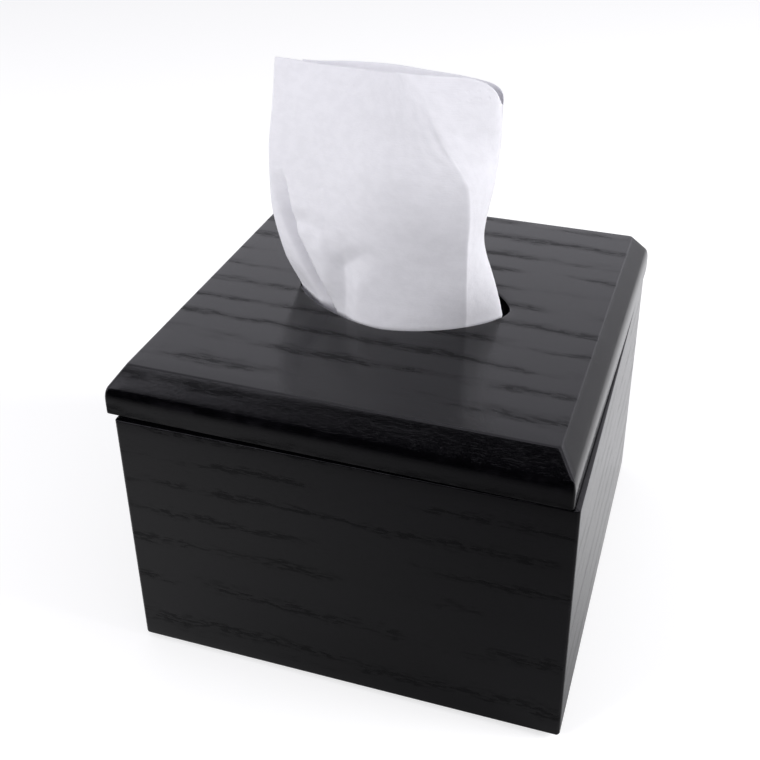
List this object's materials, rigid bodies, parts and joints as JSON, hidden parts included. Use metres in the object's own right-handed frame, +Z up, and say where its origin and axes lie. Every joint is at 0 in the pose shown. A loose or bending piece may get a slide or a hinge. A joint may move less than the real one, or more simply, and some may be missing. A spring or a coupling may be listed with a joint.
{
  "type": "tissue box cover",
  "caption": "Square wooden tissue box cover with mitred walls and a loose bevelled lid, an eye-shaped opening and a tissue standing out of it.",
  "frame": {"origin": "under the middle of the box, on the surface that the felt pads stand on", "axes": "+Z up; -Y is the front wall that the picture shows, +X the right wall"},
  "size_m": [0.1436, 0.1436, 0.1844],
  "materials": {
    "wood": "black stain on open-grained wood, satin",
    "felt": "pressed felt, matte",
    "tissue": "soft creped tissue, matte"
  },
  "bodies": {
    "box": {"front_wall": "wood", "back_wall": "wood", "left_wall": "wood", "right_wall": "wood", "bottom_panel": "wood", "felt_pad_front_left": "felt", "felt_pad_front_right": "felt", "felt_pad_back_left": "felt", "felt_pad_back_right": "felt", "tissue_stack": "tissue"},
    "lid": {"lid_board": "wood", "locating_strip_front": "wood", "locating_strip_back": "wood", "locating_strip_left": "wood", "locating_strip_right": "wood"},
    "tissue": {"popup_tissue": "tissue"}
  },
  "joints": [
    {"name": "lid_lift", "type": "slide", "parent": "box", "child": "lid", "axis": [0, 0, 1], "range_m": [0, 0.06]},
    {"name": "tissue_pull", "type": "slide", "parent": "lid", "child": "tissue", "axis": [0, 0, 1], "range_m": [0, 0.07]}
  ]
}
